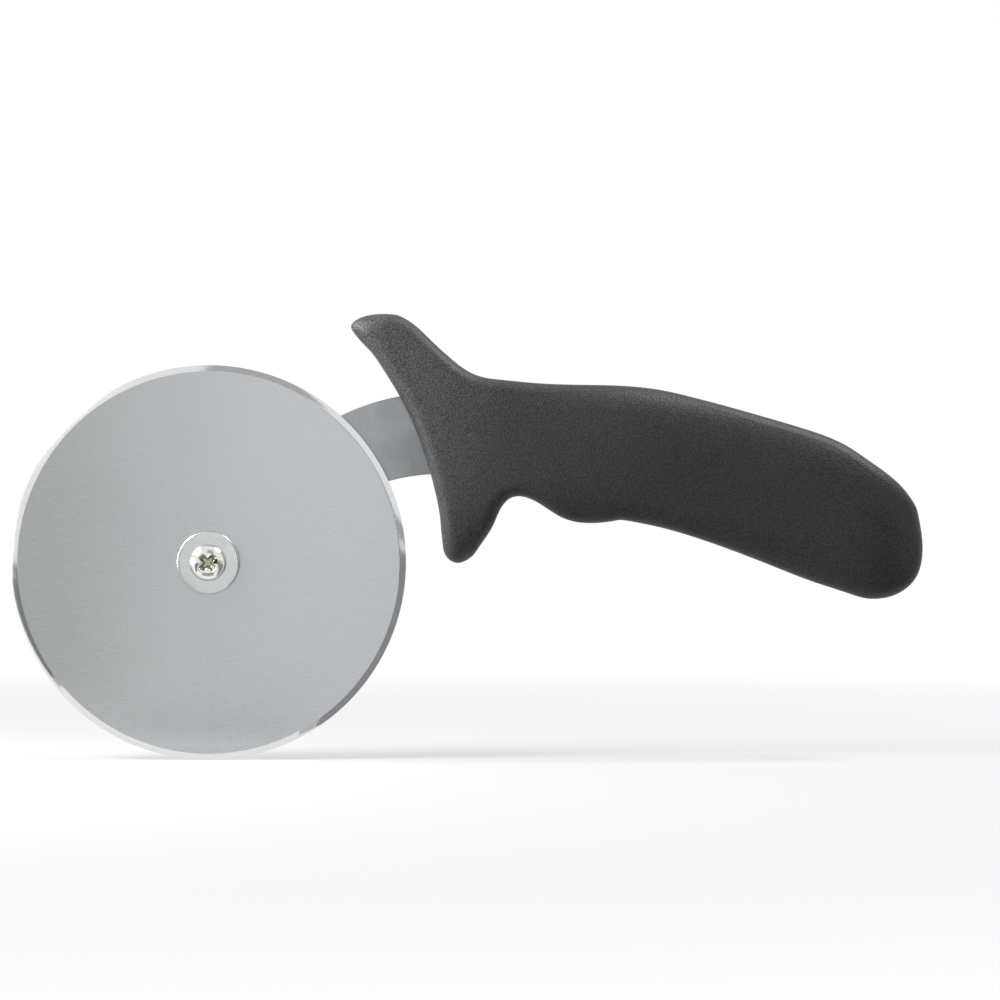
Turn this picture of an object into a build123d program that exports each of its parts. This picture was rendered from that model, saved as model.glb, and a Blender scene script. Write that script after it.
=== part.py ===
from build123d import *
from math import copysign, cos, pi, radians, sin, tan
import os

# Rotary food cutter: a bevelled steel wheel on a screwed axle, a flat steel arm and a moulded handle.
# The origin is the wheel's centre. The wheel turns about Y, and its front faces -Y.
# The handle points towards +X, and +Z is up. All lengths are in millimetres.

# Wheel and the sleeve that it turns on
wheel_diameter = 101.6
wheel_thickness = 1.2
bevel_width = 1.6
cutting_edge_thickness = 0.1
sleeve_diameter = 7.0
running_clearance = 0.05
side_play = 0.15

# Washers in front of and behind the wheel
washer_diameter = 16.2
front_washer_thickness = 1.4
front_washer_edge_round = 0.55
rear_washer_thickness = 1.2
rear_washer_chamfer = 0.2

# Pan-head screw that serves as the axle
screw_diameter = 5.0
screw_length = 12.0
screw_end_chamfer = 0.5
screw_hole_clearance = 0.15
head_diameter = 9.5
head_height = 3.3
head_rim_height = 0.7
recess_span = 4.9
recess_wing_width = 1.3
recess_depth = 2.2
recess_turn = 45
recess_floor_share = 0.5

# Split lock washer and cap nut behind the arm
lock_washer_diameter = 9.2
lock_washer_thickness = 1.2
lock_washer_gap = 0.7
lock_washer_slant = 0.5
thread_clearance = 0.03
nut_across_flats = 8.0
nut_hexagon_height = 3.8
nut_chamfer_angle = 30
nut_chamfer_share = 0.95
nut_collar_diameter = 7.2
nut_collar_height = 1.2
nut_bore_depth = 6.6

# Flat steel arm with its tang
arm_thickness = 2.0
hub_end_radius = 8.5
upper_edge_angle = 41
upper_straight_length = 34.5
lower_edge_angle = 38
lower_straight_length = 31.5
tang_height = 14.0
tang_length = 76.0
tang_angle = -9
key_hole_diameter = 6.0
key_hole_pitch = 19.0
key_hole_count = 3
arm_edge_break = 0.2

# Moulded handle
handle_length = 147.0
handle_height = 73.3
handle_width = 23.2
handle_edge_round = 3.5
guard_round_share = 0.558
horn_reach = 14.3
handle_drop = 9.3

# Outline of the handle, as shares of its length from the horn's tip and of its height from its lowest
# point. Each list is one stretch, which ends where the next one starts.
front_edge_shares = [(0.056, 0.809), (0.099, 0.662), (0.130, 0.506), (0.150, 0.362), (0.157, 0.283)]
lower_guard_shares = [(0.160, 0.216), (0.166, 0.153), (0.176, 0.132), (0.189, 0.125), (0.203, 0.134)]
notch_front_shares = [
    (0.214, 0.150), (0.227, 0.186), (0.244, 0.236),
    (0.254, 0.276), (0.263, 0.316), (0.274, 0.344),
]
notch_back_shares = [
    (0.292, 0.359), (0.314, 0.351), (0.337, 0.326),
    (0.366, 0.289), (0.401, 0.267), (0.459, 0.272),
]
underside_shares = [(0.527, 0.257), (0.616, 0.207), (0.724, 0.127), (0.824, 0.050), (0.876, 0.016)]
butt_shares = [
    (0.918, 0.000), (0.961, 0.023), (0.989, 0.075),
    (1.000, 0.147), (0.999, 0.226), (0.992, 0.302),
]
heel_shares = [
    (0.974, 0.368), (0.945, 0.427), (0.906, 0.484), (0.863, 0.541),
    (0.813, 0.583), (0.752, 0.621), (0.684, 0.660),
]
top_edge_shares = [
    (0.616, 0.697), (0.548, 0.730), (0.480, 0.746),
    (0.398, 0.750), (0.323, 0.756), (0.262, 0.768),
]
horn_back_shares = [(0.218, 0.786), (0.181, 0.834), (0.139, 0.911), (0.107, 0.969), (0.086, 0.993)]
horn_tip_shares = [
    (0.061, 1.000), (0.034, 0.996), (0.013, 0.982),
    (0.001, 0.958), (0.007, 0.930), (0.030, 0.879),
]

# Crowned flank of the handle: place along its length, middle height, half height and half width, as shares
flank_shares = [
    (-0.07, 0.62, 0.573, 0.25), (0.06, 0.59, 0.518, 0.31), (0.16, 0.52, 0.450, 0.37),
    (0.26, 0.53, 0.327, 0.43), (0.36, 0.52, 0.276, 0.47), (0.50, 0.50, 0.258, 0.50),
    (0.64, 0.44, 0.273, 0.49), (0.77, 0.36, 0.289, 0.48), (0.87, 0.28, 0.292, 0.49),
    (0.94, 0.22, 0.280, 0.45), (0.99, 0.18, 0.246, 0.32), (1.03, 0.17, 0.211, 0.19),
]
flank_roundness_share = 0.667
flank_point_count = 9

# Where the arm's wide part ends inside the handle and where its tang starts, as shares of the handle
shoulder_upper_share = (0.167, 0.724)
shoulder_lower_share = (0.167, 0.437)
tang_start_share = (0.14, 0.575)

# How far cutting tools run past what they cut, and a quarter of a turn
overrun = 0.5
right_angle = 90

# Places along the axle, worked out from the stack of pieces
sleeve_length = wheel_thickness + 2 * side_play
sleeve_front = -sleeve_length / 2
sleeve_back = sleeve_length / 2
head_seat = sleeve_front - front_washer_thickness
arm_front = sleeve_back + rear_washer_thickness
arm_middle = arm_front + arm_thickness / 2
arm_back = arm_front + arm_thickness
nut_seat = arm_back + lock_washer_thickness
screw_hole_radius = screw_diameter / 2 + screw_hole_clearance


def side_plane(depth):
    """A plane seen from the front, at a depth along Y."""
    return Plane.XZ.offset(-depth)


def handle_point(shares):
    """A point of the handle's outline, given as shares of its length and height."""
    along, up = shares
    return (wheel_diameter / 2 - horn_reach + handle_length * along, handle_height * up - handle_drop)


def heading(angle):
    """The direction in a sketch at an angle above its first axis."""
    return (cos(radians(angle)), sin(radians(angle)))


def ahead(start, angle, distance):
    """The point at a distance from another, in a direction given by its angle."""
    across, up = heading(angle)
    return (start[0] + distance * across, start[1] + distance * up)


def ring_face(depth, outer_radius, hole_radius):
    """A flat ring about the axle at a depth along Y."""
    with BuildSketch(side_plane(depth)) as ring:
        Circle(outer_radius)
        Circle(hole_radius, mode=Mode.SUBTRACT)
    return ring.sketch


def finish(piece, name):
    """Label a finished piece and write its file."""
    piece.part.label = name
    export_step(piece.part, f"parts/{name}.step")


os.makedirs("parts", exist_ok=True)

# Cutting wheel: a thin disc, ground to an edge from both faces
wheel_radius = wheel_diameter / 2
wheel_bore_radius = sleeve_diameter / 2 + running_clearance
with BuildPart() as cutting_wheel:
    with BuildSketch(Plane.XY):
        with BuildLine():
            Polyline(
                (wheel_bore_radius, -wheel_thickness / 2),
                (wheel_radius - bevel_width, -wheel_thickness / 2),
                (wheel_radius, -cutting_edge_thickness / 2),
                (wheel_radius, cutting_edge_thickness / 2),
                (wheel_radius - bevel_width, wheel_thickness / 2),
                (wheel_bore_radius, wheel_thickness / 2),
                close=True,
            )
        make_face()
    revolve(axis=Axis.Y)
finish(cutting_wheel, "cutting_wheel")

# Axle sleeve: clamped between the washers, a little longer than the wheel is thick
with BuildPart() as axle_sleeve:
    extrude(ring_face(sleeve_back, sleeve_diameter / 2, screw_hole_radius), amount=sleeve_length)
finish(axle_sleeve, "axle_sleeve")

# Front washer: its outer edge is rounded towards the screw head
with BuildPart() as front_washer:
    extrude(ring_face(sleeve_front, washer_diameter / 2, screw_hole_radius), amount=front_washer_thickness)
    front_face = front_washer.faces().sort_by(Axis.Y)[0]
    fillet(front_face.edges().sort_by(SortBy.RADIUS)[-1], radius=front_washer_edge_round)
finish(front_washer, "front_washer")

# Rear washer: keeps the wheel off the arm
with BuildPart() as rear_washer:
    extrude(ring_face(arm_front, washer_diameter / 2, screw_hole_radius), amount=rear_washer_thickness)
    outer_edges = rear_washer.edges().filter_by(GeomType.CIRCLE).sort_by(SortBy.RADIUS)[-2:]
    chamfer(outer_edges, length=rear_washer_chamfer)
finish(rear_washer, "rear_washer")

# Axle screw: pan head with a cross recess, its shank along the axle
head_radius = head_diameter / 2
shank_radius = screw_diameter / 2
head_top = head_seat - head_height
screw_end = head_seat + screw_length
with BuildPart() as axle_screw:
    with BuildSketch(Plane.XY):
        with BuildLine():
            EllipticalCenterArc(
                (0, head_seat - head_rim_height),
                head_radius,
                head_height - head_rim_height,
                start_angle=-right_angle,
                arc_size=right_angle,
            )
            Polyline(
                (head_radius, head_seat - head_rim_height),
                (head_radius, head_seat),
                (shank_radius, head_seat),
                (shank_radius, screw_end - screw_end_chamfer),
                (shank_radius - screw_end_chamfer, screw_end),
                (0, screw_end),
                (0, head_top),
            )
        make_face()
    revolve(axis=Axis.Y)
    for depth, size in ((head_top, 1), (head_top + recess_depth, recess_floor_share)):
        with BuildSketch(side_plane(depth)):
            Rectangle(recess_span * size, recess_wing_width * size, rotation=recess_turn)
            Rectangle(recess_wing_width * size, recess_span * size, rotation=recess_turn)
    loft(mode=Mode.SUBTRACT)
finish(axle_screw, "axle_screw")

# Split lock washer: one slanted cut through the ring
with BuildPart() as lock_washer:
    extrude(ring_face(nut_seat, lock_washer_diameter / 2, screw_hole_radius), amount=lock_washer_thickness)
    with BuildSketch(Plane.XY):
        with BuildLine():
            Polyline(
                (-lock_washer_gap / 2 - lock_washer_slant, arm_back),
                (lock_washer_gap / 2 - lock_washer_slant, arm_back),
                (lock_washer_gap / 2 + lock_washer_slant, nut_seat),
                (-lock_washer_gap / 2 + lock_washer_slant, nut_seat),
                close=True,
            )
        make_face()
    extrude(amount=lock_washer_diameter, mode=Mode.SUBTRACT)
finish(lock_washer, "lock_washer")

# Cap nut: a hexagon with eased corners, a collar and a closed dome
collar_radius = nut_collar_diameter / 2
corner_radius = nut_across_flats / 2 / cos(pi / 6)
hexagon_top = nut_seat + nut_hexagon_height
collar_top = hexagon_top + nut_collar_height
face_radius = nut_across_flats / 2 * nut_chamfer_share
cutter_radius = corner_radius + overrun
corner_drop = (cutter_radius - face_radius) * tan(radians(nut_chamfer_angle))
with BuildPart() as cap_nut:
    with BuildSketch(side_plane(nut_seat)):
        RegularPolygon(nut_across_flats / 2, 6, major_radius=False)
    extrude(amount=-nut_hexagon_height)
    with BuildSketch(Plane.XY):
        with BuildLine():
            Polyline(
                (0, nut_seat),
                (face_radius, nut_seat),
                (cutter_radius, nut_seat + corner_drop),
                (cutter_radius, hexagon_top - corner_drop),
                (face_radius, hexagon_top),
                (0, hexagon_top),
                close=True,
            )
        make_face()
    revolve(axis=Axis.Y, mode=Mode.INTERSECT)
    with BuildSketch(Plane.XY):
        with BuildLine():
            Polyline(
                (0, collar_top + collar_radius),
                (0, nut_seat),
                (collar_radius, nut_seat),
                (collar_radius, collar_top),
            )
            CenterArc((0, collar_top), collar_radius, start_angle=0, arc_size=right_angle)
        make_face()
    revolve(axis=Axis.Y)
    with BuildSketch(side_plane(nut_seat)):
        Circle(shank_radius + thread_clearance)
    extrude(amount=-nut_bore_depth, mode=Mode.SUBTRACT)
finish(cap_nut, "cap_nut")

# Arm: a flat blank that widens from the hub to its shoulders, with a tang held by moulded keys
upper_start = ahead((0, 0), upper_edge_angle + right_angle, hub_end_radius)
lower_start = ahead((0, 0), lower_edge_angle - right_angle, hub_end_radius)
upper_bend = ahead(upper_start, upper_edge_angle, upper_straight_length)
lower_bend = ahead(lower_start, lower_edge_angle, lower_straight_length)
hub_end_middle = ahead((0, 0), upper_edge_angle + 2 * right_angle, hub_end_radius)
upper_shoulder = handle_point(shoulder_upper_share)
lower_shoulder = handle_point(shoulder_lower_share)
tang_start = handle_point(tang_start_share)
tang_middle = ahead(tang_start, tang_angle, tang_length / 2)
with BuildPart() as arm:
    with BuildSketch(side_plane(arm_back)):
        with BuildLine():
            ThreePointArc(upper_start, hub_end_middle, lower_start)
            Line(lower_start, lower_bend)
            lower_sweep = TangentArc(lower_bend, lower_shoulder, tangent=heading(lower_edge_angle))
            Line(upper_start, upper_bend)
            upper_sweep = TangentArc(upper_bend, upper_shoulder, tangent=heading(upper_edge_angle))
            Line(lower_sweep @ 1, upper_sweep @ 1)
        make_face()
        with Locations(tang_middle):
            SlotOverall(tang_length, tang_height, rotation=tang_angle)
        Circle(screw_hole_radius, mode=Mode.SUBTRACT)
        for place in range(key_hole_count):
            from_tang_start = tang_length - tang_height / 2 - place * key_hole_pitch
            with Locations(ahead(tang_start, tang_angle, from_tang_start)):
                Circle(key_hole_diameter / 2, mode=Mode.SUBTRACT)
    extrude(amount=arm_thickness)
    chamfer(arm.faces().filter_by(Axis.Y).edges(), length=arm_edge_break)
finish(arm, "arm")

# Handle: one moulding with a horn above and a finger guard below, made as one half and mirrored
lower_outline_shares = [front_edge_shares, lower_guard_shares, notch_front_shares, notch_back_shares]
rear_outline_shares = [underside_shares, butt_shares, heel_shares]
upper_outline_shares = [top_edge_shares, horn_back_shares, horn_tip_shares]
handle_plane = side_plane(arm_middle)


def flank_section(middle, half_height, half_width):
    """Points of a rounded arch from its foot to its top, by the superellipse formula."""
    points = []
    for step in range(flank_point_count):
        turn = pi * step / (flank_point_count - 1) - pi / 2
        outward = max(cos(turn), 0) ** flank_roundness_share
        upward = copysign(abs(sin(turn)) ** flank_roundness_share, sin(turn))
        points.append((arm_middle + half_width * outward, middle + half_height * upward))
    return points


with BuildPart() as flank:
    for along, middle, half_height, half_width in flank_shares:
        place, middle_height = handle_point((along, middle))
        section = flank_section(middle_height, handle_height * half_height, handle_width * half_width)
        with BuildSketch(Plane.YZ.offset(place)):
            with BuildLine():
                arch = Spline(*section)
                Line(arch @ 1, arch @ 0)
            make_face()
    loft()

# The outline is a loop of splines that flow into each other, kept apart so that its rim can be rounded
outline = []
stretch_starts = [0]
for stretch_shares in lower_outline_shares + rear_outline_shares + upper_outline_shares:
    outline += [handle_plane.from_local_coords(Vector(*handle_point(shares))) for shares in stretch_shares]
    stretch_starts.append(len(outline))
outline += outline[:2]
stretches = []
for first, last in zip(stretch_starts, stretch_starts[1:]):
    flow = [outline[first + 1] - outline[first - 1 if first else -3], outline[last + 1] - outline[last - 1]]
    stretches.append(Spline(*outline[first : last + 1], tangents=flow))
half_outline = make_face(stretches, mode=Mode.PRIVATE)

# The tip of the guard is the narrowest part of the outline, and it limits the round of the rim
guard_tip_width = handle_length * (lower_guard_shares[-1][0] - lower_guard_shares[0][0])
rim_round = min(handle_edge_round, guard_round_share * guard_tip_width)

with BuildPart() as handle:
    extrude(half_outline, amount=-handle_width, clean=False)
    add(flank.part, mode=Mode.INTERSECT, clean=False)
    rim = handle.edges().filter_by(GeomType.LINE, reverse=True)
    rim = rim.filter_by_position(Axis.Y, arm_middle + rim_round / 2, arm_middle + handle_width)
    fillet(rim, radius=rim_round)
    mirror(about=handle_plane)
    add(arm.part, mode=Mode.SUBTRACT)
finish(handle, "handle")
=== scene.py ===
import math

import bpy
import numpy as np
from bpy.props import FloatProperty, FloatVectorProperty, IntProperty, PointerProperty
from bpy.types import NodeSocket, Operator, Panel, PropertyGroup
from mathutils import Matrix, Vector


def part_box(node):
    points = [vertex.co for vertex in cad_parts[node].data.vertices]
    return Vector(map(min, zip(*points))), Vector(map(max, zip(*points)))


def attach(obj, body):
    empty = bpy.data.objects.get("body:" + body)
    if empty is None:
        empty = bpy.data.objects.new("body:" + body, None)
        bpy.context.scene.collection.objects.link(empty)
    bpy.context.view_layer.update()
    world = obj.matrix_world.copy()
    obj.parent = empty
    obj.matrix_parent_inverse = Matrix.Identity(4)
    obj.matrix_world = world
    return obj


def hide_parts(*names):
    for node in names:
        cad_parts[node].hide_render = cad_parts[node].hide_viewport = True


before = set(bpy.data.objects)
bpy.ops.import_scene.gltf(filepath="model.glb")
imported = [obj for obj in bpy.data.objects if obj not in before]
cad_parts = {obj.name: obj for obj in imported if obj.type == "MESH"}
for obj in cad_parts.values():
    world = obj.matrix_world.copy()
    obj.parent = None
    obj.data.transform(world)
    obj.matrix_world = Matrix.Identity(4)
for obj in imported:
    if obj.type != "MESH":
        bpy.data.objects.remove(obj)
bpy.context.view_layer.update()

bl_info = {
    "name": "Rotary food cutter",
    "version": (1, 0, 0),
    "blender": (4, 5, 0),
    "location": "3D View > Sidebar > Cutter",
    "description": "Builds the visible surfaces, finishes and studio of a wheel cutter round its CAD frame",
    "category": "Add Mesh",
}

# All lengths are in metres. The origin is the wheel's centre, the axle lies along Y and the handle along +X.
FULL_TURN = 2 * math.pi
CRISP_EDGE = math.radians(14)

# A flat face has more points just inside its corners, so that only the corners are shaded round.
FLAT_INSET = 0.00022
FLAT_EASE = 0.00005

# How far the corners of the wheel and of the rings are eased.
CORNER_EASE = 0.0001
SHOULDER_EASE = 0.00006
EDGE_EASE = 0.00002
FRONT_WASHER_EASE = 0.00062
REAR_WASHER_EASE = 0.0002
SPRING_INNER_EASE = 0.00008
SPRING_OUTER_EASE = 0.00014

# How far the middle of an eased corner of the screw or nut stands from the sharp corner.
CORNER_MIDDLE = 0.00003
SHANK_CORNER_MIDDLE = 0.00002

# The screw: over how far the creases of its recess are rounded, its end, and its rows of points.
WING_REACH = 0.0003
RECESS_FLOOR_REACH = 0.0002
RECESS_MOUTH_REACH = 0.00008
POINT_CHAMFER = 0.0005
HEAD_ROWS = 150
THREAD_ROWS = 130

# A thread's groove: how steep its sides are, and how much of its wave is cut flat at the crest.
THREAD_SLOPE = 1.35
THREAD_CREST = 0.15

# The cap nut: its chamfers, its bore's mouth, and its rows of points.
HALF_SIDE_ANGLE = math.pi / 6
CHAMFER_ANGLE = math.pi / 6
CHAMFER_SHARE = 0.95
SEAT_INSET = 0.00005
BORE_CHAMFER = 0.0003
BORE_ROWS = 110
SIDE_ROWS = 12
DOME_ROWS = 40

# The sheet steel's finish. Values about a middle reach as far to each side of it.
GRAIN_SHADE = 0.008
# How far the edge of the painted shade near the handle wanders, and how dark that painted shade leaves the sheet.
HANDLE_SHADE_WANDER = 0.008
HANDLE_SHADE_SHARE = 0.64
SHEET_ROUGHNESS = (0.26, 0.31)
CLOUD_ROUGHNESS = 0.006
GRAIN_HEIGHT = 0.0000007

# The ground bevel's, the washers' and the plate's finish.
GROUND_MARKS = (1400, 300, 1)
GROUND_ROUGHNESS = (0.07, 0.13)
GROUND_HEIGHT = 0.000001
TURNED_RINGS = (3, 9000, 1)
TURNED_ROUGHNESS = (0.20, 0.30)
TURNED_HEIGHT = 0.000002
PLATE_ROUGHNESS = (0.05, 0.12)
PLATE_WAVE_HEIGHT = 0.00001
# Inside the screw's recess: where its painted shade and its dulling start and end, and how much rougher it is there.
RECESS_START, RECESS_END = 0.04, 0.22
RECESS_DULLING = 0.28

# The handle's finish: its pebbles, its parting line, and the painted light that makes its colour lighter towards the
# horn.
# The pebbles' tops are painted lighter and the hollows between them darker, as painted light and shade.
PEBBLE_SHADING_RANGE = (-0.35, 0.1)
PEBBLE_LIGHT_AND_SHADE = (0.5, 1.5)
HORN_PAINTED_LIGHT = 2.8
HORN_PAINTED_LIGHT_RANGE = (0.038, 0.078)
HORN_PAINTED_LIGHT_WANDER = 0.006
SEAM_RANGE = (0.00005, 0.00018)
SEAM_HEIGHT = 0.00008
PLASTIC_ROUGHNESS = (0.42, 0.52)

# The studio: how much of the floor is seen bright near the object, where that fades, and how bright the world
# lights the object.
FLOOR_SIDES = 96
FLOOR_NEAR_SHARE = 0.66
FLOOR_FADE_RANGE = (0.10, 0.55)
WORLD_LIGHT = 0.10
CAMERA_REACH = 50

# The soft lamps: where each stands, where it points, how wide it is and its power in watts.
LAMPS = {
    "key_lamp": ((-0.265, -0.14, 0.25), (0.03, 0, 0.03), 0.17, 2.9),
    "left_lamp": ((-0.42, -0.17, 0.03), (0.05, 0, 0.03), 0.16, 1.0),
    "side_lamp": ((0.42, -0.05, 0.58), (0.05, 0, 0.03), 0.30, 3.4),
}

# Cards that only gloss shows. Each has its colour and its corners. An upright card stands at one depth, and its
# corners are given along and up.
CARD_DEPTH = -0.5
UPRIGHT_CARDS = {
    "warm_card": (
        (0.62, 0.61, 0.58),
        (-0.30, -0.045), (-0.055, -0.045), (-0.055, 0.26), (-0.20, 0.26), (-0.30, 0.17),
    ),
    "cool_card": ((1.26, 1.29, 1.31), (-0.055, -0.045), (0.110, -0.045), (0.110, 0.26), (-0.055, 0.26)),
    "handle_card": (
        (0.03, 0.03, 0.03),
        (0.110, -0.045), (0.385, -0.045), (0.36, 0.13), (0.30, 0.22), (0.22, 0.30), (0.110, 0.35),
    ),
    "right_card": ((0.29, 0.29, 0.29), (0.385, -0.045), (1.10, -0.045), (1.10, 0.022), (0.385, 0.022)),
    "right_band": ((0.42, 0.39, 0.39), (0.385, 0.046), (1.10, 0.06), (1.10, 0.118), (0.385, 0.106)),
    "upper_card": ((0.50, 0.50, 0.50), (-0.055, 0.36), (0.25, 0.36), (0.25, 0.75), (-0.055, 0.75)),
    "left_card": ((0.24, 0.25, 0.26), (-0.70, -0.045), (-0.34, -0.045), (-0.34, -0.014), (-0.70, -0.014)),
}

# A lying card is just above the floor, and its corners are given along and in depth.
CARD_HEIGHT = -0.047
LYING_CARDS = {
    "right_wedge": (
        (0.31, 0.31, 0.32),
        (0.030, -0.005), (0.60, -0.10), (0.60, -0.60), (0.42, -0.60), (0.16, -0.210), (0.070, -0.068), (0.040, -0.028),
    ),
    "right_wedge_end": ((0.60, 0.60, 0.61), (0.024, -0.003), (0.030, -0.005), (0.040, -0.028), (0.030, -0.022)),
    "left_wedge_end": ((0.55, 0.56, 0.57), (-0.058, -0.022), (-0.058, -0.044), (-0.066, -0.050), (-0.066, -0.028)),
    "left_wedge": ((0.24, 0.25, 0.26), (-0.066, -0.028), (-0.60, -0.38), (-0.45, -0.60), (-0.066, -0.050)),
    "left_floor": ((0.62, 0.61, 0.59), (-0.060, -0.060), (-0.44, -0.60), (-0.04, -0.60), (-0.034, -0.064)),
    "middle_strip": ((0.42, 0.42, 0.42), (-0.024, -0.029), (0.020, -0.029), (0.026, -0.058), (-0.030, -0.058)),
}


def length(name, description, default):
    """A property that holds a length."""
    return FloatProperty(
        name=name, description=description, default=default, unit="LENGTH", subtype="DISTANCE", precision=5
    )


def colour(name, description, default):
    """A property that holds a linear colour."""
    return FloatVectorProperty(
        name=name, description=description, default=default, subtype="COLOR", size=3, min=0.0, max=1.0
    )


def radius_of(node):
    """Outer radius of a round CAD node about the axle."""
    low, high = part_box(node)
    return (high.x - low.x) / 2


def depth_of(node):
    """Where a CAD node starts and ends along the axle."""
    low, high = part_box(node)
    return low.y, high.y


class WheelSizes(PropertyGroup):
    """The cutting wheel."""

    bevel_width: length("Bevel width", "Width of the bevel that is ground on each face", 0.0016)
    edge_thickness: length("Edge thickness", "Thickness left at the cutting edge", 0.0001)
    bore_clearance: length("Bore clearance", "Gap between the wheel's bore and its sleeve", 0.00005)
    columns: IntProperty(name="Columns", description="Steps once round the wheel", default=720, min=90)
    face: colour("Face", "Colour of the rolled sheet", (0.47, 0.485, 0.495))
    ground: colour("Ground bevel", "Colour of the freshly ground bevel", (0.74, 0.75, 0.76))


class FastenerSizes(PropertyGroup):
    """The axle screw, its washers, its sleeve and its cap nut."""

    shank_radius: length("Shank radius", "Radius of the screw over its thread", 0.0025)
    hole_clearance: length("Hole clearance", "Gap between the shank and the bores round it", 0.00015)
    head_height: length("Head height", "Height of the screw's head", 0.0033)
    head_rim: length("Head rim", "Height of the upright rim under the head's dome", 0.0007)
    recess_span: length("Recess span", "Length of the cross recess from tip to tip", 0.0056)
    recess_wing: length("Recess wing", "Width of a wing of the cross recess", 0.0017)
    recess_depth: length("Recess depth", "Depth of the cross recess", 0.0022)
    recess_floor: FloatProperty(
        name="Recess floor", description="Share of the cross that is left at its floor", default=0.5
    )
    recess_turn: FloatProperty(
        name="Recess turn", description="Turn of the cross about the axle", default=math.pi / 4,
        subtype="ANGLE", unit="ROTATION",
    )
    thread_pitch: length("Thread pitch", "Distance between the thread's turns", 0.0008)
    thread_height: length("Thread height", "Height of the thread from root to crest", 0.00046)
    thread_clearance: length("Thread clearance", "Gap between the screw's and the nut's thread", 0.00003)
    nut_hexagon: length("Nut hexagon", "Height of the nut's hexagon", 0.0038)
    nut_collar: length("Nut collar", "Height of the collar between the hexagon and the dome", 0.0012)
    nut_collar_radius: length("Nut collar radius", "Radius of the collar and of the dome", 0.0036)
    nut_bore: length("Nut bore", "Depth of the nut's thread", 0.0066)
    split_gap: length("Split gap", "Gap between the ends of the split washer", 0.0007)
    split_slant: length("Split slant", "How far the split leans to each side of its middle", 0.0005)
    columns: IntProperty(name="Columns", description="Steps once round a fastener", default=192, min=48)
    bright: colour("Bright plate", "Colour of the nickel plate", (0.80, 0.79, 0.76))
    # Painted shade: the plate inside the cross recess is given this darker, warmer colour.
    recess: colour("Recess", "Colour of the plate inside the cross recess", (0.50, 0.47, 0.38))
    washer: colour("Washer", "Colour of the turned washers", (0.57, 0.59, 0.59))


class HolderSizes(PropertyGroup):
    """The finishes of the arm and of the handle."""

    sheet: colour("Arm", "Colour of the arm's sheet steel", (0.318, 0.330, 0.338))
    plastic: colour("Handle", "Colour of the moulded handle", (0.024, 0.024, 0.0245))
    pebble: length("Pebble", "Width of a grain of the handle's texture", 0.00042)
    pebble_height: length("Pebble height", "Height of a grain of the handle's texture", 0.00008)


class StudioSizes(PropertyGroup):
    """The floor, the lamps and the camera."""

    picture_width: length("Picture width", "Width that the picture spans at the wheel", 0.2574)
    aim_along: length("Aim along", "Where the camera looks, along the handle's axis", 0.07498)
    aim_up: length("Aim up", "Where the camera looks, above the axle", 0.01608)
    lens: FloatProperty(name="Lens", description="Focal length in millimetres", default=150.0)
    floor_radius: length("Floor radius", "Radius of the floor", 6.0)
    floor: colour("Floor", "Colour of the floor under the object", (0.58, 0.58, 0.58))


# Surfaces


def eased_profile(corners, eases, steps=4):
    """A profile whose corners are eased. Each corner is a quadratic Bezier curve that starts and ends at the
    corner's ease distance along its two sides, with the corner itself as its middle control point."""
    corners = np.asarray(corners, float)
    eases = np.asarray(eases, float)[:, None]
    before = np.roll(corners, 1, axis=0) - corners
    after = np.roll(corners, -1, axis=0) - corners
    starts = corners + eases * before / np.linalg.norm(before, axis=1, keepdims=True)
    ends = corners + eases * after / np.linalg.norm(after, axis=1, keepdims=True)
    t = np.linspace(0, 1, steps)[None, :, None]
    curves = (1 - t) ** 2 * starts[:, None] + 2 * t * (1 - t) * corners[:, None] + t**2 * ends[:, None]
    return curves.reshape(-1, 2)


def turned(radii, depths, angles):
    """Points of a turned form: x = r cos a, y = depth, z = r sin a, for each radius and depth at each angle."""
    radii, depths, angles = np.broadcast_arrays(radii, depths, angles)
    return np.stack([radii * np.cos(angles), depths, radii * np.sin(angles)], axis=-1)


def round_angles(columns):
    """Angles once round the axle, as one row."""
    return np.linspace(0, FULL_TURN, columns, endpoint=False)[None, :]


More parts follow.
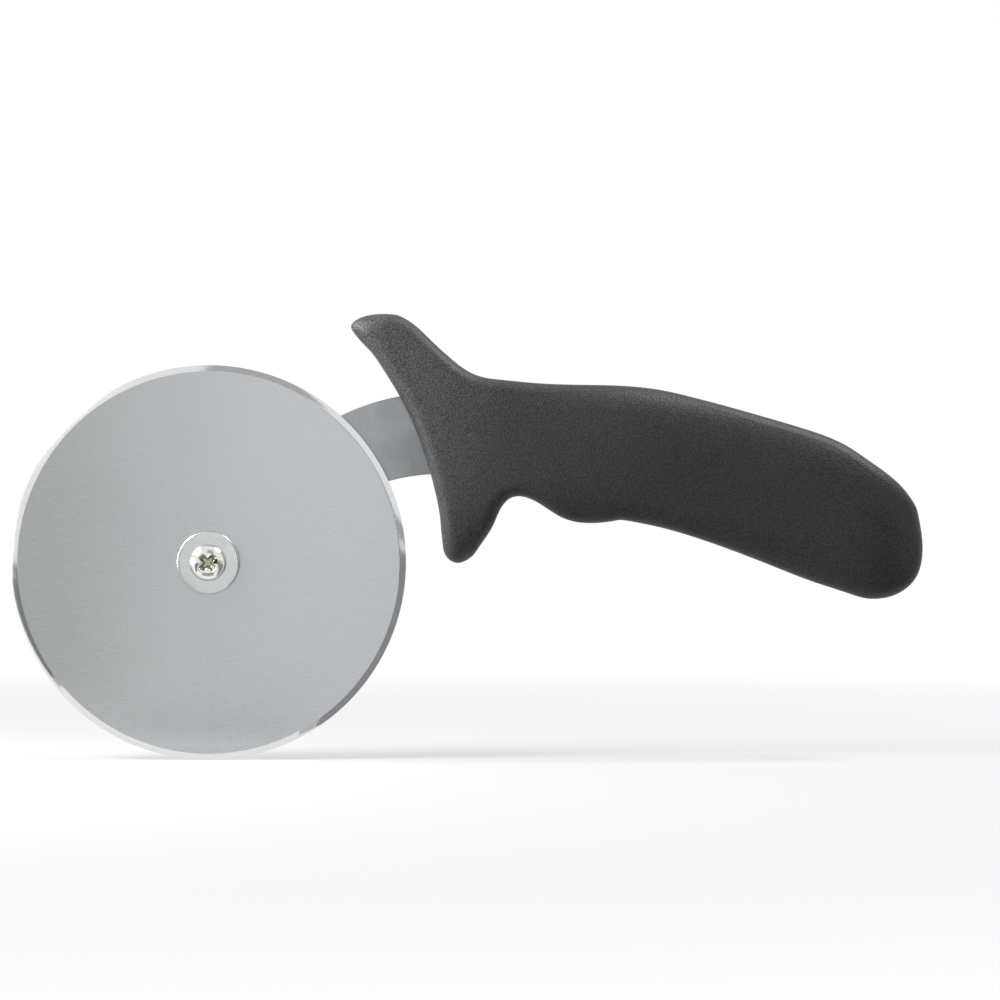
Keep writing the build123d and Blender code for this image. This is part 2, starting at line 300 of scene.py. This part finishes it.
def build_surface(name, rows, ring=False, ends=(None, None), open_round=False, bands=None, field=None):
    """A closed mesh from a grid of points: rows follow a profile and columns go round it.

    A ring joins its last row to its first. Otherwise each end is closed by a fan of triangles to its end point.
    open_round leaves the last column apart from the first, and closes both with flat caps.
    Faces are turned outwards by the sign of the volume, the sum of a . (b x c) / 6 over the triangles.
    The UV map holds the turn about the axle and the length along the profile. bands gives each row's material slot.
    field is a name and a value for each point of the grid, which a material can read."""
    row_count, column_count = rows.shape[:2]
    points = rows.reshape(-1, 3)
    row = np.arange(row_count if ring else row_count - 1)[:, None]
    column = np.arange(column_count - 1 if open_round else column_count)[None, :]
    corners = [(row, column), (row, column + 1), (row + 1, column + 1), (row + 1, column)]
    quads = np.stack([(r % row_count) * column_count + c % column_count + 0 * (row + column) for r, c in corners], -1)
    quads = quads.reshape(-1, 4)
    middle = rows[:, 0] if ring else rows[:, :1].mean(axis=1)
    steps = np.linalg.norm(np.diff(middle, axis=0, append=middle[:1]), axis=1)
    run = np.concatenate([[0], np.cumsum(steps)])
    quad_uv = np.stack([np.stack([c / column_count + 0 * r, run[r] + 0.0 * c], -1) for r, c in corners], -2)
    quad_uv = quad_uv.reshape(-1, 4, 2)
    quad_bands = np.repeat(np.zeros(len(row), int) if bands is None else np.asarray(bands)[: len(row)], column.size)
    fans, fan_uv, fan_bands = [], [], []
    for end, end_row, flip in ((ends[0], 0, True), (ends[1], row_count - 1, False)):
        if end is None:
            continue
        points = np.vstack([points, end])
        first = end_row * column_count + column[0]
        second = end_row * column_count + (column[0] + 1) % column_count
        pole = np.full(column.size, len(points) - 1)
        fans.append(np.stack([second, first, pole] if flip else [first, second, pole], -1))
        sides = [column[0] + 1, column[0]] if flip else [column[0], column[0] + 1]
        turn = np.stack([*sides, column[0] + 0.5], -1)
        past_end = (-1 if flip else 1) * np.linalg.norm(end - rows[end_row, 0])
        along = np.array([run[end_row], run[end_row], run[end_row] + past_end])
        fan_uv.append(np.stack([turn / column_count, np.broadcast_to(along, turn.shape)], -1))
        fan_bands.append(np.full(column.size, quad_bands[0] if flip else quad_bands[-1]))
    triangles = np.vstack([quads[:, [0, 1, 2]], quads[:, [0, 2, 3]], *fans])
    a, b, c = (points[triangles[:, place]] for place in range(3))
    inside_out = np.einsum("ij,ij->i", a, np.cross(b, c)).sum() < 0
    loops = [faces[:, ::-1] if inside_out else faces for faces in (quads, *fans)]
    loop_uv = [uv[:, ::-1] if inside_out else uv for uv in (quad_uv, *fan_uv)]
    polygons = [face for faces in loops for face in faces.tolist()]
    slots = np.concatenate([quad_bands, *fan_bands])
    if open_round:
        caps = [np.arange(row_count) * column_count, (np.arange(row_count) * column_count + column_count - 1)[::-1]]
        caps = [cap if inside_out else cap[::-1] for cap in caps]
        polygons += [cap.tolist() for cap in caps]
        loop_uv += [points[cap][:, [0, 2]][None] for cap in caps]
        slots = np.append(slots, [0, 0])
    mesh = bpy.data.meshes.new(name)
    mesh.from_pydata(points.tolist(), [], polygons)
    mesh.uv_layers.new(name="turned").data.foreach_set("uv", np.concatenate([uv.reshape(-1) for uv in loop_uv]))
    mesh.polygons.foreach_set("use_smooth", np.ones(len(polygons), bool))
    mesh.polygons.foreach_set("material_index", slots.astype(np.int32))
    if field is not None:
        values = np.zeros(len(points), np.float32)
        values[: rows.shape[0] * rows.shape[1]] = field[1].reshape(-1)
        mesh.attributes.new(field[0], "FLOAT", "POINT").data.foreach_set("value", values)
    mesh.validate()
    mesh.set_sharp_from_angle(angle=CRISP_EDGE)
    piece = bpy.data.objects.new(name, mesh)
    bpy.context.collection.objects.link(piece)
    return piece


def thread(angles, depths, pitch, height, start, end):
    """Depth of a thread groove under its crest: a wave that rises and falls evenly once per pitch along a helix,
    with its crests and roots cut flat, and that fades in and out over one pitch at its start and end."""
    wave = np.abs(2 * ((depths / pitch - angles / FULL_TURN) % 1) - 1)
    groove = np.clip(THREAD_SLOPE * wave - THREAD_CREST, 0, 1)
    fade = np.clip((depths - start) / pitch, 0, 1) * np.clip((end - depths) / pitch, 0, 1)
    return height * groove * fade


def soft_max(a, b, reach):
    """The larger of two fields, with their crease rounded over a reach."""
    return (a + b + np.sqrt((a - b) ** 2 + reach**2)) / 2


def soft_min(a, b, reach):
    """The smaller of two fields, with their crease rounded over a reach."""
    return -soft_max(-a, -b, reach)


def place(piece, node, body, slot, *materials):
    """Give a piece its finishes, put it in its CAD node's place and let it ride on its body."""
    for material in materials:
        piece.data.materials.append(material)
    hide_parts(node)
    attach(piece, body)
    return piece


# Finishes


def add_node(tree, kind, inputs=None, **settings):
    """A shader node with its settings. An input is a value, or a socket that is linked to it."""
    made = tree.nodes.new(kind)
    for name, value in settings.items():
        setattr(made, name, value)
    for name, value in (inputs or {}).items():
        if isinstance(value, NodeSocket):
            tree.links.new(value, made.inputs[name])
        else:
            made.inputs[name].default_value = value
    return made


def math_node(tree, operation, first, second=0.0):
    """A sum, product or function of one or two values."""
    return add_node(tree, "ShaderNodeMath", {0: first, 1: second}, operation=operation).outputs[0]


def spread(tree, value, low, high, start=0.3, end=0.7):
    """A value between start and end, carried over to the range from low to high. Without a start and an end, the
    value is noise, most of which lies between 0.3 and 0.7."""
    inputs = {"Value": value, "From Min": start, "From Max": end, "To Min": low, "To Max": high}
    return add_node(tree, "ShaderNodeMapRange", inputs).outputs["Result"]


def noise(tree, stretch, detail=3.0, source="Object", roughness=0.5):
    """Noise on the piece's own coordinates. stretch gives how many times it repeats in a metre, each way."""
    coordinates = add_node(tree, "ShaderNodeTexCoord").outputs[source]
    placed = add_node(tree, "ShaderNodeMapping", {"Vector": coordinates, "Scale": stretch}).outputs["Vector"]
    settings = {"Vector": placed, "Scale": 1.0, "Detail": detail, "Roughness": roughness}
    return add_node(tree, "ShaderNodeTexNoise", settings).outputs["Fac"]


def bump(tree, height, distance, under=None):
    """A normal that is bent by a height field."""
    inputs = {"Height": height, "Distance": distance}
    if under is not None:
        inputs["Normal"] = under
    return add_node(tree, "ShaderNodeBump", inputs).outputs["Normal"]


def mix_colour(tree, factor, first, second):
    """A colour between two others. Each is a value, or a socket that is linked."""
    mix = add_node(tree, "ShaderNodeMix", data_type="RGBA")
    tree.links.new(factor, mix.inputs["Factor"])
    ends = [socket for socket in mix.inputs if socket.type == "RGBA"]
    for socket, end in zip(ends, (first, second)):
        if isinstance(end, NodeSocket):
            tree.links.new(end, socket)
        else:
            socket.default_value = (*end, 1)
    return next(socket for socket in mix.outputs if socket.type == "RGBA")


def scaled(value, factor):
    """A colour made darker or lighter."""
    return tuple(min(1.0, channel * factor) for channel in value)


def new_finish(name, **sockets):
    """A new material with its shader's plain values set. It returns the material, its tree and its shader."""
    material = bpy.data.materials.new(name)
    material.use_nodes = True
    shader = next(node for node in material.node_tree.nodes if node.type == "BSDF_PRINCIPLED")
    for socket, value in sockets.items():
        shader.inputs[socket.replace("_", " ")].default_value = value
    return material, material.node_tree, shader


def bare_tree(owner):
    """The node tree of a material or of a world, emptied."""
    owner.use_nodes = True
    owner.node_tree.nodes.clear()
    return owner.node_tree


def link_finish(tree, shader, base, roughness, normal):
    """Link the three fields of a finish to its shader."""
    tree.links.new(base, shader.inputs["Base Color"])
    tree.links.new(roughness, shader.inputs["Roughness"])
    tree.links.new(normal, shader.inputs["Normal"])


def sheet_steel(name, colour_value, grain, cloud, clouding, painted_shade_near_handle=None):
    """Rolled stainless sheet: a satin face with fine grain and faint clouds. grain gives how often the grain repeats
    in a metre, each way, cloud the width of a cloud, and clouding how much it changes the colour. The last argument
    gives where a painted shade starts to darken the sheet along the handle's axis, towards the handle, and where that
    painted shade is darkest."""
    material, tree, shader = new_finish(name, Metallic=1.0)
    fine = noise(tree, grain, detail=3)
    clouds = noise(tree, (1 / cloud, 1 / cloud, 1 / cloud), detail=3)
    cloud_shades = spread(tree, clouds, 1 - clouding, 1 + clouding)
    shades = math_node(tree, "ADD", cloud_shades, spread(tree, fine, -GRAIN_SHADE, GRAIN_SHADE))
    if painted_shade_near_handle is not None:
        # Painted shade: towards the handle the sheet is made darker, where the handle shades it.
        coordinates = add_node(tree, "ShaderNodeTexCoord").outputs["Object"]
        along = add_node(tree, "ShaderNodeSeparateXYZ", {0: coordinates}).outputs["X"]
        along = math_node(tree, "ADD", along, spread(tree, clouds, -HANDLE_SHADE_WANDER, HANDLE_SHADE_WANDER))
        shades = math_node(tree, "MULTIPLY", shades, spread(tree, along, 1, HANDLE_SHADE_SHARE, *painted_shade_near_handle))
    base = add_node(tree, "ShaderNodeVectorMath", {0: colour_value, "Scale": shades}, operation="SCALE").outputs[0]
    cloud_roughness = spread(tree, clouds, -CLOUD_ROUGHNESS, CLOUD_ROUGHNESS)
    rough = math_node(tree, "ADD", spread(tree, fine, *SHEET_ROUGHNESS), cloud_roughness)
    link_finish(tree, shader, base, rough, bump(tree, fine, GRAIN_HEIGHT))
    return material


def ground_steel(name, colour_value):
    """Ground bevel: bright, with fine marks that run across it from the face to the edge."""
    material, tree, shader = new_finish(name, Metallic=1.0)
    marks = noise(tree, GROUND_MARKS, detail=3, source="UV")
    base = mix_colour(tree, spread(tree, marks, 0, 1), scaled(colour_value, 0.94), colour_value)
    link_finish(tree, shader, base, spread(tree, marks, *GROUND_ROUGHNESS), bump(tree, marks, GROUND_HEIGHT))
    return material


def turned_steel(name, colour_value):
    """Turned washer: bright, with faint rings about the axle."""
    material, tree, shader = new_finish(name, Metallic=1.0)
    rings = noise(tree, TURNED_RINGS, detail=3, source="UV")
    clouds = noise(tree, (300, 300, 300), detail=3)
    base = mix_colour(tree, spread(tree, clouds, 0, 1), scaled(colour_value, 0.95), scaled(colour_value, 1.05))
    link_finish(tree, shader, base, spread(tree, rings, *TURNED_ROUGHNESS), bump(tree, rings, TURNED_HEIGHT))
    return material


def nickel_plate(name, colour_value, recess_shade_colour=None):
    """Bright nickel plate with the slight waviness of a stamped head. Inside a recess it is duller, and its colour is
    painted darker and warmer there, as shade.
    """
    material, tree, shader = new_finish(name, Metallic=1.0)
    waves = noise(tree, (300, 300, 300), detail=1)
    stains = noise(tree, (1100, 1100, 1100), detail=4)
    base = mix_colour(tree, spread(tree, stains, 0, 1), scaled(colour_value, 0.93), colour_value)
    rough = spread(tree, stains, *PLATE_ROUGHNESS)
    if recess_shade_colour is not None:
        share = add_node(tree, "ShaderNodeAttribute", attribute_name="recess").outputs["Fac"]
        # Painted shade: inside the recess the colour is made darker and warmer; the plate there is also rougher.
        inside = spread(tree, share, 0, 1, RECESS_START, RECESS_END)
        base = mix_colour(tree, inside, base, recess_shade_colour)
        rough = math_node(tree, "ADD", rough, math_node(tree, "MULTIPLY", inside, RECESS_DULLING))
    link_finish(tree, shader, base, rough, bump(tree, waves, PLATE_WAVE_HEIGHT))
    return material


def moulded_plastic(name, sizes, seam_depth):
    """Black moulded plastic: a texture of round pebbles, slight sheen and the parting line of the mould, which lies at
    seam_depth along the axle. Towards the horn the colour is made lighter, as painted light."""
    material, tree, shader = new_finish(name, Metallic=0.0, IOR=1.47, Specular_IOR_Level=0.42)
    coordinates = add_node(tree, "ShaderNodeTexCoord").outputs["Object"]
    cell_inputs = {"Vector": coordinates, "Scale": 1 / sizes.pebble, "Smoothness": 0.4}
    cells = add_node(tree, "ShaderNodeTexVoronoi", cell_inputs, feature="SMOOTH_F1")
    fine = noise(tree, (2.2 / sizes.pebble,) * 3, detail=2, roughness=0.6)
    pebbles = math_node(tree, "SUBTRACT", math_node(tree, "MULTIPLY", fine, 0.5), cells.outputs["Distance"])
    clouds = noise(tree, (45, 45, 45), detail=4)
    places = add_node(tree, "ShaderNodeSeparateXYZ", {0: coordinates}).outputs
    # Painted light: towards the horn the colour is made up to 2.8 times lighter, standing in for the stronger light
    # there.
    along = math_node(tree, "ADD", places["X"], spread(tree, clouds, -HORN_PAINTED_LIGHT_WANDER, HORN_PAINTED_LIGHT_WANDER))
    horn_painted_light = spread(tree, along, HORN_PAINTED_LIGHT, 1, *HORN_PAINTED_LIGHT_RANGE)
    # Painted light and shade: the pebbles' tops are made up to 1.5 times lighter and the hollows between them down to
    # half as dark.
    painted_pebble_colours = [scaled(sizes.plastic, shade) for shade in PEBBLE_LIGHT_AND_SHADE]
    base = mix_colour(tree, spread(tree, pebbles, 0, 1, *PEBBLE_SHADING_RANGE), *painted_pebble_colours)
    base = add_node(tree, "ShaderNodeVectorMath", {0: base, "Scale": horn_painted_light}, operation="SCALE").outputs[0]
    from_seam = math_node(tree, "ABSOLUTE", math_node(tree, "SUBTRACT", places["Y"], seam_depth))
    seam = spread(tree, from_seam, 1, 0, *SEAM_RANGE)
    rough = spread(tree, clouds, *PLASTIC_ROUGHNESS)
    normal = bump(tree, pebbles, sizes.pebble_height)
    normal = bump(tree, seam, SEAM_HEIGHT, normal)
    link_finish(tree, shader, base, rough, normal)
    return material


# Operators


class CUTTER_OT_wheel(Operator):
    """Build the cutting wheel: a thin disc, ground to an edge from both faces"""

    bl_idname = "cutter.wheel"
    bl_label = "Cutting wheel"

    def execute(self, context):
        sizes = context.scene.cutter_wheel
        radius = radius_of("cutting_wheel")
        bore = radius_of("axle_sleeve") + sizes.bore_clearance
        front, back = depth_of("cutting_wheel")
        shoulder = radius - sizes.bevel_width
        half_edge = sizes.edge_thickness / 2
        inner, outer = bore + FLAT_INSET, shoulder - FLAT_INSET
        corners = [
            (bore, front), (inner, front), (outer, front), (shoulder, front), (radius, -half_edge),
            (radius, half_edge), (shoulder, back), (outer, back), (inner, back), (bore, back),
        ]
        eases = [CORNER_EASE, FLAT_EASE, FLAT_EASE, SHOULDER_EASE, EDGE_EASE]
        profile = eased_profile(corners, eases + eases[::-1])
        rows = turned(profile[:, :1], profile[:, 1:], round_angles(sizes.columns))
        middles = (profile[:, 0] + np.roll(profile[:, 0], -1)) / 2
        bands = (middles > shoulder + 0.00001).astype(int)
        wheel = build_surface("wheel_disc", rows, ring=True, bands=bands)
        rolled = sheet_steel("rolled_wheel_steel", sizes.face, grain=(300, 300, 4200), cloud=0.045, clouding=0.02)
        finishes = rolled, ground_steel("ground_bevel_steel", sizes.ground)
        place(wheel, "cutting_wheel", "wheel", "wheel_steel", *finishes)
        return {"FINISHED"}


class CUTTER_OT_washers(Operator):
    """Build the rings on the axle: the sleeve, the front and rear washers and the split lock washer"""

    bl_idname = "cutter.washers"
    bl_label = "Washers and sleeve"

    def ring(self, name, node, finish, hole, eases, columns):
        """A ring about the axle, whose four corners are eased."""
        radius = radius_of(node)
        front, back = depth_of(node)
        inner, outer = hole + FLAT_INSET, radius - FLAT_INSET - np.array(eases[1:3])
        corners = [
            (hole, front), (inner, front), (outer[0], front), (radius, front),
            (radius, back), (outer[1], back), (inner, back), (hole, back),
        ]
        all_eases = [eases[0], FLAT_EASE, FLAT_EASE, eases[1], eases[2], FLAT_EASE, FLAT_EASE, eases[3]]
        profile = eased_profile(corners, all_eases, steps=7)
        ring = build_surface(name, turned(profile[:, :1], profile[:, 1:], round_angles(columns)), ring=True)
        place(ring, node, "holder", "washer_steel", finish)

    def execute(self, context):
        sizes = context.scene.cutter_fasteners
        hole = sizes.shank_radius + sizes.hole_clearance
        finish = turned_steel("turned_washer_steel", sizes.washer)
        ease, front, rear = CORNER_EASE, FRONT_WASHER_EASE, REAR_WASHER_EASE
        self.ring("spacer_sleeve", "axle_sleeve", finish, hole, [ease] * 4, sizes.columns)
        self.ring("front_washer_ring", "front_washer", finish, hole, [ease, front, ease, ease], sizes.columns)
        self.ring("rear_washer_ring", "rear_washer", finish, hole, [ease, rear, rear, ease], sizes.columns)
        self.lock_washer(sizes, hole)
        return {"FINISHED"}

    def lock_washer(self, sizes, hole):
        """The split washer goes round from one side of its gap to the other, and the gap leans with depth."""
        radius = radius_of("lock_washer")
        front, back = depth_of("lock_washer")
        corners = [(hole, front), (radius, front), (radius, back), (hole, back)]
        eases = [SPRING_INNER_EASE, SPRING_OUTER_EASE, SPRING_OUTER_EASE, SPRING_INNER_EASE]
        profile = eased_profile(corners, eases, steps=5)
        lean = sizes.split_slant * (2 * (profile[:, 1:] - front) / (back - front) - 1)
        start = np.arccos((lean - sizes.split_gap / 2) / profile[:, :1])
        end = np.arccos((lean + sizes.split_gap / 2) / profile[:, :1]) + FULL_TURN
        t = np.linspace(0, 1, sizes.columns)[None, :]
        rows = turned(profile[:, :1], profile[:, 1:], start + (end - start) * t)
        washer = build_surface("split_washer", rows, ring=True, open_round=True)
        finish = nickel_plate("plated_spring_steel", sizes.bright)
        place(washer, "lock_washer", "holder", "fastener_steel", finish)


class CUTTER_OT_screw(Operator):
    """Build the axle screw: a domed head with a cross recess, a plain shank and a thread"""

    bl_idname = "cutter.screw"
    bl_label = "Axle screw"

    def head(self, sizes, radius, seat, angles):
        """The head's front is a half ellipse turned about the axle. The recess is cut into it where the larger of
        two wings is deeper than the dome. A wing's depth falls evenly from its middle line to its sides and tips."""
        t = np.linspace(0, math.pi / 2, HEAD_ROWS)[1:, None]
        radii = radius * np.sin(t)
        dome = seat - sizes.head_rim - (sizes.head_height - sizes.head_rim) * np.cos(t)
        along = radii * np.cos(angles - sizes.recess_turn)
        across = radii * np.sin(angles - sizes.recess_turn)
        wings = []
        for lengthways, sideways in ((along, across), (across, along)):
            tip = (sizes.recess_span / 2 - np.abs(lengthways)) * self.slope(sizes, sizes.recess_span)
            side = (sizes.recess_wing / 2 - np.abs(sideways)) * self.slope(sizes, sizes.recess_wing)
            wings.append(soft_min(tip, side, WING_REACH))
        cut = soft_min(soft_max(*wings, WING_REACH), sizes.recess_depth, RECESS_FLOOR_REACH)
        depths = soft_max(dome, seat - sizes.head_height + cut, RECESS_MOUTH_REACH)
        return turned(radii, depths, angles), (depths - dome) / sizes.recess_depth

    def slope(self, sizes, width):
        """How fast the recess deepens inwards from the sides of a wing of this width."""
        return sizes.recess_depth / (width / 2 * (1 - sizes.recess_floor))

    def execute(self, context):
        sizes = context.scene.cutter_fasteners
        angles = round_angles(sizes.columns)
        radius = radius_of("axle_screw")
        seat = depth_of("front_washer")[0]
        end = depth_of("axle_screw")[1]
        start = depth_of("rear_washer")[1]
        head, recessed = self.head(sizes, radius, seat, angles)
        shank = sizes.shank_radius
        ease, outer, inner = CORNER_EASE, CORNER_MIDDLE, SHANK_CORNER_MIDDLE
        rim = np.array([
            (radius, seat - ease), (radius - outer, seat - outer), (radius - ease, seat),
            (shank + ease, seat), (shank + inner, seat + inner), (shank, seat + ease), (shank, start),
        ])
        threaded = np.linspace(start, end - POINT_CHAMFER, THREAD_ROWS)[1:, None]
        groove = thread(angles, threaded, sizes.thread_pitch, sizes.thread_height, start, end)
        point = np.array([(shank - POINT_CHAMFER, end)])
        rows = np.concatenate([
            head,
            turned(rim[:, :1], rim[:, 1:], angles),
            turned(shank - groove, threaded, angles),
            turned(point[:, :1], point[:, 1:], angles),
        ])
        head_middle = (0, head[0, :, 1].mean(), 0)
        depth_shares = np.zeros(rows.shape[:2])
        depth_shares[: len(head)] = recessed
        screw = build_surface("pan_head_screw", rows, ends=(head_middle, (0, end, 0)), field=("recess", depth_shares))
        finish = nickel_plate("bright_nickel_plate", sizes.bright, sizes.recess)
        place(screw, "axle_screw", "holder", "fastener_steel", finish)
        return {"FINISHED"}


class CUTTER_OT_nut(Operator):
    """Build the cap nut: a hexagon with eased corners, a collar, a dome and a threaded bore"""

    bl_idname = "cutter.nut"
    bl_label = "Cap nut"

    def execute(self, context):
        sizes = context.scene.cutter_fasteners
        low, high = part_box("cap_nut")
        seat, top = low.y, high.y
        flat = (high.z - low.z) / 2
        angles = round_angles(sizes.columns)
        hexagon = flat / np.cos((angles % (2 * HALF_SIDE_ANGLE)) - HALF_SIDE_ANGLE)
        corner = flat / math.cos(HALF_SIDE_ANGLE)
        chamfer = CHAMFER_SHARE * flat
        drop = (corner - chamfer) * math.tan(CHAMFER_ANGLE)
        shoulder = seat + sizes.nut_hexagon
        t = np.linspace(0, 1, SIDE_ROWS)[:, None]
        lower = np.minimum(hexagon, chamfer + (corner - chamfer) * t)
        upper = np.minimum(hexagon, chamfer + (corner - chamfer) * (1 - t))
        bore_radius = sizes.shank_radius + sizes.thread_clearance
        bore_end = seat + sizes.nut_bore
        inner = np.linspace(bore_end, seat + BORE_CHAMFER, BORE_ROWS)[:, None]
        groove = thread(angles, inner, sizes.thread_pitch, sizes.thread_height, seat, bore_end)
        collar = sizes.nut_collar_radius
        crown = shoulder + sizes.nut_collar
        arc = np.linspace(0, math.pi / 2, DOME_ROWS)[:-1, None]
        mouth = np.array([(bore_radius + BORE_CHAMFER, seat), (chamfer - SEAT_INSET, seat)])
        neck = np.array([
            (collar + CORNER_EASE, shoulder), (collar + CORNER_MIDDLE, shoulder + CORNER_MIDDLE),
            (collar, shoulder + CORNER_EASE),
        ])
        rows = np.concatenate([
            turned(bore_radius - groove, inner, angles),
            turned(mouth[:, :1], mouth[:, 1:], angles),
            turned(lower, seat + drop * t, angles),
            turned(upper, shoulder - drop * (1 - t), angles),
            turned(neck[:, :1], neck[:, 1:], angles),
            turned(collar * np.cos(arc), crown + (top - crown) * np.sin(arc), angles),
        ])
        nut = build_surface("domed_nut", rows, ends=((0, bore_end, 0), (0, top, 0)))
        finish = nickel_plate("bright_nickel_nut", sizes.bright)
        place(nut, "cap_nut", "holder", "fastener_steel", finish)
        return {"FINISHED"}


class CUTTER_OT_holder(Operator):
    """Finish the arm in satin sheet steel and the handle in pebbled plastic"""

    bl_idname = "cutter.holder"
    bl_label = "Arm and handle"

    def execute(self, context):
        sizes = context.scene.cutter_holder
        arm_front, arm_back = depth_of("arm")
        finishes = {
            # The arm is darkened with painted shade near the handle.
            "arm": sheet_steel(
                "rolled_arm_steel", sizes.sheet, grain=(4200, 300, 300), cloud=0.008, clouding=0.09,
                painted_shade_near_handle=(0.040, 0.058),
            ),
            "handle": moulded_plastic("pebbled_black_plastic", sizes, seam_depth=(arm_front + arm_back) / 2),
        }
        for node, finish in finishes.items():
            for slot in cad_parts[node].material_slots:
                slot.material = finish
        return {"FINISHED"}


class CUTTER_OT_studio(Operator):
    """Build the pale floor, the soft lamps and the camera"""

    bl_idname = "cutter.studio"
    bl_label = "Studio"

    def seen_ray(self, tree):
        """One for rays that show the background: straight from the camera, by gloss or through glass."""
        rays = add_node(tree, "ShaderNodeLightPath").outputs
        seen = math_node(tree, "ADD", rays["Is Camera Ray"], rays["Is Glossy Ray"])
        seen = math_node(tree, "ADD", seen, rays["Is Transmission Ray"])
        return math_node(tree, "MINIMUM", seen, 1.0)

    def flat_piece(self, name, corners):
        """A piece with one flat face."""
        mesh = bpy.data.meshes.new(name)
        mesh.from_pydata(corners, [], [list(range(len(corners)))])
        piece = bpy.data.objects.new(name, mesh)
        bpy.context.collection.objects.link(piece)
        return piece

    def floor(self, sizes, ground):
        """The floor is a disc: its rim is x = r cos a, y = r sin a. It is white far from its middle."""
        angles = round_angles(FLOOR_SIDES)[0]
        rim = np.broadcast_arrays(sizes.floor_radius * np.cos(angles), sizes.floor_radius * np.sin(angles), ground)
        floor = self.flat_piece("studio_floor", np.stack(rim, -1).tolist())
        material = bpy.data.materials.new("pale_floor")
        tree = bare_tree(material)
        near = add_node(tree, "ShaderNodeBsdfDiffuse", {"Color": (*sizes.floor, 1)}).outputs[0]
        far = add_node(tree, "ShaderNodeEmission", {"Color": (1, 1, 1, 1), "Strength": 1.0}).outputs[0]
        coordinates = add_node(tree, "ShaderNodeTexCoord").outputs["Object"]
        distance = add_node(tree, "ShaderNodeVectorMath", {0: coordinates}, operation="LENGTH").outputs["Value"]
        fade = spread(tree, distance, FLOOR_NEAR_SHARE, 1, *FLOOR_FADE_RANGE)
        seen = math_node(tree, "MULTIPLY", fade, self.seen_ray(tree))
        mixed = add_node(tree, "ShaderNodeMixShader", {0: seen, 1: near, 2: far}).outputs[0]
        add_node(tree, "ShaderNodeOutputMaterial", {"Surface": mixed})
        floor.data.materials.append(material)

    def lamp(self, name, position, aim, size, power):
        """A round soft lamp."""
        light = bpy.data.lights.new(name, "AREA")
        light.shape = "DISK"
        light.size = size
        light.energy = power
        lamp = bpy.data.objects.new(name, light)
        lamp.location = position
        lamp.rotation_euler = (Vector(aim) - Vector(position)).to_track_quat("-Z", "Y").to_euler()
        lamp.visible_camera = False
        bpy.context.collection.objects.link(lamp)

    def card(self, name, corners, tint):
        """A flat card that only gloss shows."""
        card = self.flat_piece(name, corners)
        material = bpy.data.materials.new(name)
        tree = bare_tree(material)
        glow = add_node(tree, "ShaderNodeEmission", {"Color": (*tint, 1), "Strength": 1.0}).outputs[0]
        add_node(tree, "ShaderNodeOutputMaterial", {"Surface": glow})
        card.data.materials.append(material)
        card.visible_camera = False
        card.visible_diffuse = False
        card.visible_shadow = False
        card.visible_transmission = False

    def world(self, scene):
        """White where it is seen, and softer where it lights the object."""
        world = bpy.data.worlds.new("studio_world")
        tree = bare_tree(world)
        strength = spread(tree, self.seen_ray(tree), WORLD_LIGHT, 1.0, 0, 1)
        back = add_node(tree, "ShaderNodeBackground", {"Color": (1, 1, 1, 1), "Strength": strength}).outputs[0]
        add_node(tree, "ShaderNodeOutputWorld", {"Surface": back})
        scene.world = world

    def camera(self, scene, sizes):
        """The camera looks along +Y, from where the picture's width fills the lens."""
        data = bpy.data.cameras.new("camera")
        data.lens = sizes.lens
        data.clip_end = CAMERA_REACH
        away = sizes.picture_width * sizes.lens / data.sensor_width
        camera = bpy.data.objects.new("camera", data)
        camera.location = (sizes.aim_along, -away, sizes.aim_up)
        camera.rotation_euler = (math.pi / 2, 0, 0)
        bpy.context.collection.objects.link(camera)
        scene.camera = camera

    def execute(self, context):
        scene = context.scene
        sizes = scene.cutter_studio
        self.floor(sizes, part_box("cutting_wheel")[0].z)
        for name, settings in LAMPS.items():
            self.lamp(name, *settings)
        for name, (tint, *corners) in UPRIGHT_CARDS.items():
            self.card(name, [(x, CARD_DEPTH, z) for x, z in corners], tint)
        for name, (tint, *corners) in LYING_CARDS.items():
            self.card(name, [(x, y, CARD_HEIGHT) for x, y in corners], tint)
        self.world(scene)
        self.camera(scene, sizes)
        scene.view_settings.view_transform = "Standard"
        return {"FINISHED"}


OPERATORS = [CUTTER_OT_wheel, CUTTER_OT_washers, CUTTER_OT_screw, CUTTER_OT_nut, CUTTER_OT_holder, CUTTER_OT_studio]


class CUTTER_PT_panel(Panel):
    """The steps that build the cutter, and the sizes that they read"""

    bl_idname = "CUTTER_PT_panel"
    bl_label = "Rotary food cutter"
    bl_space_type = "VIEW_3D"
    bl_region_type = "UI"
    bl_category = "Cutter"

    def draw(self, context):
        for operator in OPERATORS:
            self.layout.operator(operator.bl_idname)
        for name, group in SETTINGS.items():
            box = self.layout.box()
            for item in group.__annotations__:
                box.prop(getattr(context.scene, name), item)


SETTINGS = {
    "cutter_wheel": WheelSizes,
    "cutter_fasteners": FastenerSizes,
    "cutter_holder": HolderSizes,
    "cutter_studio": StudioSizes,
}


def register():
    for item in (*SETTINGS.values(), *OPERATORS, CUTTER_PT_panel):
        bpy.utils.register_class(item)
    for name, group in SETTINGS.items():
        setattr(bpy.types.Scene, name, PointerProperty(type=group))


def unregister():
    for name in SETTINGS:
        delattr(bpy.types.Scene, name)
    for item in reversed((*SETTINGS.values(), *OPERATORS, CUTTER_PT_panel)):
        bpy.utils.unregister_class(item)


def main():
    register()
    bpy.ops.cutter.wheel()
    bpy.ops.cutter.washers()
    bpy.ops.cutter.screw()
    bpy.ops.cutter.nut()
    bpy.ops.cutter.holder()
    bpy.ops.cutter.studio()


if __name__ == "__main__":
    main()
